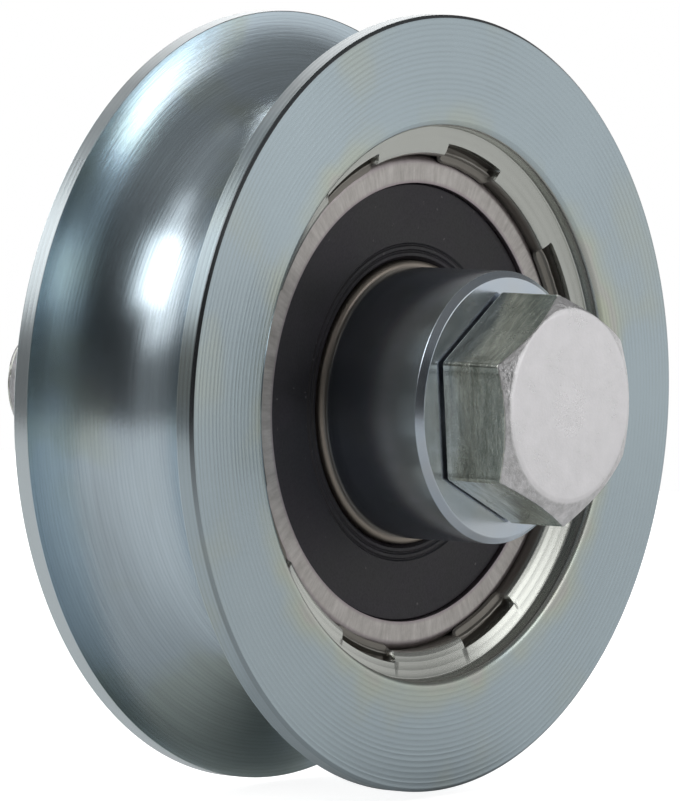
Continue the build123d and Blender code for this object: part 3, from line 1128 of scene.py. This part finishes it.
def makeRings():
    b = bearing
    half, seat = bearingHalf, b["sealSeat"]
    depth, start, end = b["sealGroove"]
    outerCorners = [
        (seatRadius, 0, 0.0),
        (seatRadius, half, b["outerCorner"]),
        (seat, half, 0.05),
        (seat, half - start, 0.05),
        (seat + depth, half - start, 0.05),
        (seat + depth, half - end, 0.05),
        (b["shoulderOuter"], half - end, 0.1),
    ]
    makeRing("outerRing", "bearing_outer_ring", "wheel", outerCorners, b["shoulderOuter"],
             b["outerTrackBottom"] - b["trackRadius"])
    innerCorners = [
        (b["bore"], 0, 0.0),
        (b["bore"], half, b["innerCorner"]),
        (b["shoulderInner"], half, b["innerCorner"]),
    ]
    makeRing("innerRing", "bearing_inner_ring", "axle", innerCorners, b["shoulderInner"],
             b["innerTrackBottom"] + b["trackRadius"])


sealShape = {
    "thickness": 0.7,
    "recess": 0.3,
    "lipGap": 0.05,
    "lipBevel": 0.24,
    "ribStart": 0.55,
    "ribPitch": 0.42,
    "ribDepth": 0.12,
    "ribCount": 2,
    "edgeBevel": 0.12,
    "stations": 240,
}


def makeSeal(name, side, node):
    s = sealShape
    face = bearingHalf - s["recess"]
    back = face - s["thickness"]
    lip = bearing["shoulderInner"] + s["lipGap"]
    edge = bearing["sealSeat"]
    bead, start, end = bearing["sealGroove"]
    corners = [(lip, back, 0.04), (lip, face - s["lipBevel"], 0.05), (lip + s["lipBevel"], face, 0.08)]
    for i in range(s["ribCount"]):
        rib = lip + s["ribStart"] + i * s["ribPitch"]
        corners += [(rib - s["ribDepth"], face, 0.04), (rib, face - s["ribDepth"], 0.04),
                    (rib + s["ribDepth"], face, 0.04)]
    corners += [
        (edge - s["edgeBevel"], face, 0.05),
        (edge, bearingHalf - start, 0.04),
        (edge + bead, bearingHalf - start, 0.06),
        (edge + bead, bearingHalf - end, 0.06),
        (edge - bead, bearingHalf - end, 0.04),
        (edge - bead, back, 0.03),
    ]
    seal = evenlyTurned(name, [(r, side * y) for r, y in softened(corners, steps=3)], s["stations"])
    dress(seal, "wheel", "seal_rubber", sealRubber, node)


makeRings()
makeSeal("frontSeal", -1, "front_seal")
makeSeal("rearSeal", 1, "rear_seal")
print("rings and seals made")


# Bushes

bushShape = {
    "bore": 4.2,
    "boreChamfer": 0.4,
    "spigotRadius": 5.98,
    "spigotEnd": 0.1,
    "spigotChamfer": 0.2,
    "edgeChamfer": 0.4,
    "softness": 0.07,
    "stations": 240,
}


def makeBush(name, side, node):
    b = bushShape
    low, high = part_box(node)
    outer = high.x / mm
    end = max(abs(low.y), abs(high.y)) / mm
    soft, spigot, start = b["softness"], b["spigotRadius"], b["spigotEnd"]
    corners = [
        (b["bore"], start, 0.05),
        (spigot - b["spigotChamfer"], start, 0.04),
        (spigot, start + b["spigotChamfer"], 0.04),
        (spigot, bearingHalf, 0.03),
        (outer, bearingHalf, soft),
        (outer, end - b["edgeChamfer"], soft * 1.5),
        (outer - b["edgeChamfer"], end, soft * 1.5),
        (b["bore"] + b["boreChamfer"], end, soft),
        (b["bore"], end - b["boreChamfer"], soft),
    ]
    bush = evenlyTurned(name, [(r, side * y) for r, y in softened(corners)], b["stations"])
    dress(bush, "axle", "zinc_plated_steel", bushZinc, node)


makeBush("frontBush", -1, "front_bush")
makeBush("rearBush", 1, "rear_bush")
print("bushes made")


# Bolt, nut and washer

boltShape = {
    "acrossFlats": 13.0,
    "cornerAngle": 34.2,
    "cornerRound": 0.35,
    "underside": -12.82,
    "washerFaceRadius": 5.9,
    "washerFaceWidth": 1.5,
    "topInset": 0.38,
    "topOffset": 0.35,
    "topRings": (0.35, 0.2, 0.08),    # shares of the top's radius
    "bevelAngle": 30.0,
    "leastBevel": 0.03,
    "edgeRound": 0.15,
    "topRound": 0.9,
    "neck": 0.3,
    "threadStart": 4.6,
    "plainEnd": 1.2,
    "runout": 1.2,                # turns over which the thread deepens
    "tipChamfer": 0.65,
    "tipShare": 0.86,
}

threadForm = {
    "radius": 4.0,
    "pitch": 1.25,
    "depth": 0.74,
    "crest": 0.125,               # shares of the pitch
    "flank": 0.66,
    "rootRound": 0.08,
    "stations": 96,
    "rowsPerTurn": 12,
}


def hexagonRadius(angle, cornerAngle, acrossFlats, cornerRound):
    # how far the rounded hexagon reaches at an angle
    fromCorner = abs((angle - cornerAngle + 30) % 60 - 30)
    flat = acrossFlats / 2
    reach = flat / math.cos(math.radians(30 - fromCorner))
    centre = (flat - cornerRound) / math.cos(math.radians(30))
    aside = centre * math.sin(math.radians(fromCorner))
    if aside < cornerRound:
        rounded = centre * math.cos(math.radians(fromCorner)) + math.sqrt(cornerRound ** 2 - aside ** 2)
        reach = min(reach, rounded)
    return reach


def hexagonStations(cornerAngle):
    # they lie closer together near each corner, for its round
    fromCorner = [0, 0.35, 0.7, 1.05, 1.4, 2.2, 4, 6.5, 9.5, 13, 17, 21.5, 26]
    half = fromCorner + [30] + [60 - a for a in reversed(fromCorner[1:])]
    return [cornerAngle + 60 * i + a for i in range(6) for a in half]


def threadRadius(angle, y):
    # the thread's surface: flat crest, straight flanks and a rounded root
    f = threadForm
    phase = (y / f["pitch"] - angle / 360) % 1.0
    fromCrest = 1 - abs(phase - 0.5) * 2
    slope = min(max((fromCrest - f["crest"]) / f["flank"], 0.0), 1.0)
    return f["radius"] - f["depth"] * (slope - f["rootRound"] * math.sin(math.pi * slope) * slope)


def makeBolt():
    s = boltShape
    lowest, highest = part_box("hex_bolt")
    top, tip = lowest.y / mm, highest.y / mm
    faceRadius = s["acrossFlats"] / 2 - s["topInset"]
    slope = math.tan(math.radians(s["bevelAngle"]))
    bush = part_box("front_bush")[0].y / mm
    bm = bmesh.new()
    columns = []
    for angle in hexagonStations(s["cornerAngle"]):
        a = math.radians(angle)
        hexReach = hexagonRadius(angle, s["cornerAngle"], s["acrossFlats"], s["cornerRound"])
        # the bevel's cone stands a little above the head's middle
        lift, aside = s["topOffset"] * math.sin(a), s["topOffset"] * math.cos(a)
        topReach = min(lift + math.sqrt(faceRadius ** 2 - aside ** 2), hexReach - 0.05)
        corners = [
            (s["washerFaceRadius"] - s["washerFaceWidth"], bush, 0.0),
            (s["washerFaceRadius"], bush, 0.05),
            (s["washerFaceRadius"], s["underside"], 0.05),
            (hexReach, s["underside"], s["edgeRound"]),
            (hexReach, top + slope * max(s["leastBevel"], hexReach - topReach), 0.12),
            (topReach, top, s["topRound"]),
            (topReach * s["topRings"][0], top, 0.0),
        ]
        outline = softened(corners, closed=False)
        outline += [(topReach * share, top) for share in s["topRings"][1:]]
        columns.append(ringAt(bm, angle, outline))
    skinRings(bm, columns, pointsMeet=False)
    bm.faces.new([column[-1] for column in columns])
    bm.faces.new([column[0] for column in reversed(columns)])
    addShank(bm, bush, tip)
    bolt = finishMesh("bolt", bm, 30)
    dress(bolt, "axle", "fastener_steel", boltZinc, "hex_bolt")


def addShank(bm, start, tip):
    s, f = boltShape, threadForm
    threadStart, threadEnd = s["threadStart"], tip - 0.02
    count = int((threadEnd - threadStart) / f["pitch"] * f["rowsPerTurn"])
    levels = [start, start + s["neck"], threadStart - s["plainEnd"]]
    levels += [threadStart + (threadEnd - threadStart) * i / count for i in range(count + 1)]
    rows = []
    for y in levels:
        ring = []
        for n in range(f["stations"]):
            angle = 360 * n / f["stations"]
            r = f["radius"]
            if y >= threadStart:
                runout = min(1.0, (y - threadStart) / (s["runout"] * f["pitch"]))
                r -= (f["radius"] - threadRadius(angle, y)) * runout
                r = min(r, f["radius"] - s["tipChamfer"] + (tip - y))
            ring.append(atAngle(bm, angle, r, y))
        rows.append(ring)
    rows.append([bm.verts.new((v.co.x * s["tipShare"], tip * mm, v.co.z * s["tipShare"])) for v in rows[-1]])
    skinRings(bm, rows, ringsMeet=False)
    bm.faces.new(list(reversed(rows[0])))
    bm.faces.new(rows[-1])


nutShape = {
    "cornerAngle": 12.0,
    "faceInset": 0.3,
    "cornerRound": 0.3,
    "edgeRound": 0.2,
    "leastBevel": 0.03,
    "mouthRadius": 4.25,
    "clearance": 0.03,
    "rows": 54,
}


def makeNut():
    s = nutShape
    low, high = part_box("hex_nut")
    start, end = low.y / mm, high.y / mm
    across = boltShape["acrossFlats"]
    faceRadius = across / 2 - s["faceInset"]
    slope = math.tan(math.radians(boltShape["bevelAngle"]))
    bm = bmesh.new()
    columns = []
    for angle in hexagonStations(s["cornerAngle"]):
        hexReach = hexagonRadius(angle, s["cornerAngle"], across, s["cornerRound"])
        drop = slope * max(s["leastBevel"], hexReach - faceRadius)
        outline = softened([
            (s["mouthRadius"], start, 0.0),
            (faceRadius, start, s["edgeRound"]),
            (hexReach, start + drop, 0.1),
            (hexReach, end - drop, 0.1),
            (faceRadius, end, s["edgeRound"]),
            (s["mouthRadius"], end, 0.0),
        ], closed=False)
        for i in range(1, s["rows"]):
            y = end - (end - start) * i / s["rows"]
            fromMouth = min(y - start, end - y)
            outline.append((max(threadRadius(angle, y) + s["clearance"], s["mouthRadius"] - fromMouth), y))
        columns.append(ringAt(bm, angle, outline))
    skinRings(bm, columns)
    nut = finishMesh("nut", bm, 30)
    dress(nut, "axle", "fastener_steel", boltZinc, "hex_nut")


washerShape = {
    "slitWidth": 1.4,
    "slitSlant": 25.0,
    "slitAngle": 70.0,
    "edgeRound": 0.15,
    "bore": 4.2,
    "stations": 160,
}


def makeLockWasher():
    s = washerShape
    low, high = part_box("lock_washer")
    start, end = low.y / mm, high.y / mm
    outer = -low.z / mm
    corners = ((s["bore"], start), (outer, start), (outer, end), (s["bore"], end))
    outline = softened([(r, y, s["edgeRound"]) for r, y in corners])
    middle = (start + end) / 2
    slant = math.tan(math.radians(s["slitSlant"]))
    halfGap = s["slitWidth"] / 2 / math.cos(math.radians(s["slitSlant"]))
    bm = bmesh.new()
    rings = []
    for i in range(s["stations"] + 1):
        t = i / s["stations"]
        ring = []
        for r, y in outline:
            gap = math.degrees(halfGap / r)
            shift = -math.degrees((y - middle) * slant / r)
            ring.append(atAngle(bm, s["slitAngle"] + shift + gap + (360 - 2 * gap) * t, r, y))
        rings.append(ring)
    skinRings(bm, rings, ringsMeet=False)
    bm.faces.new(rings[0])
    bm.faces.new(list(reversed(rings[-1])))
    washer = finishMesh("lockWasher", bm)
    dress(washer, "axle", "fastener_steel", boltZinc, "lock_washer")


makeBolt()
makeNut()
makeLockWasher()
print("bolt, nut and washer made")


# Balls and cage keep the frame's own meshes

for nodeName in ["cage_front_half", "cage_rear_half", "cage_rivets"] + [f"ball_{i}" for i in range(1, 8)]:
    node = nodes[nodeName]
    node.data.materials.clear()
    node.data.materials.append(ballSteel if nodeName.startswith("ball") else cageSteel)
print("balls and cage coloured")
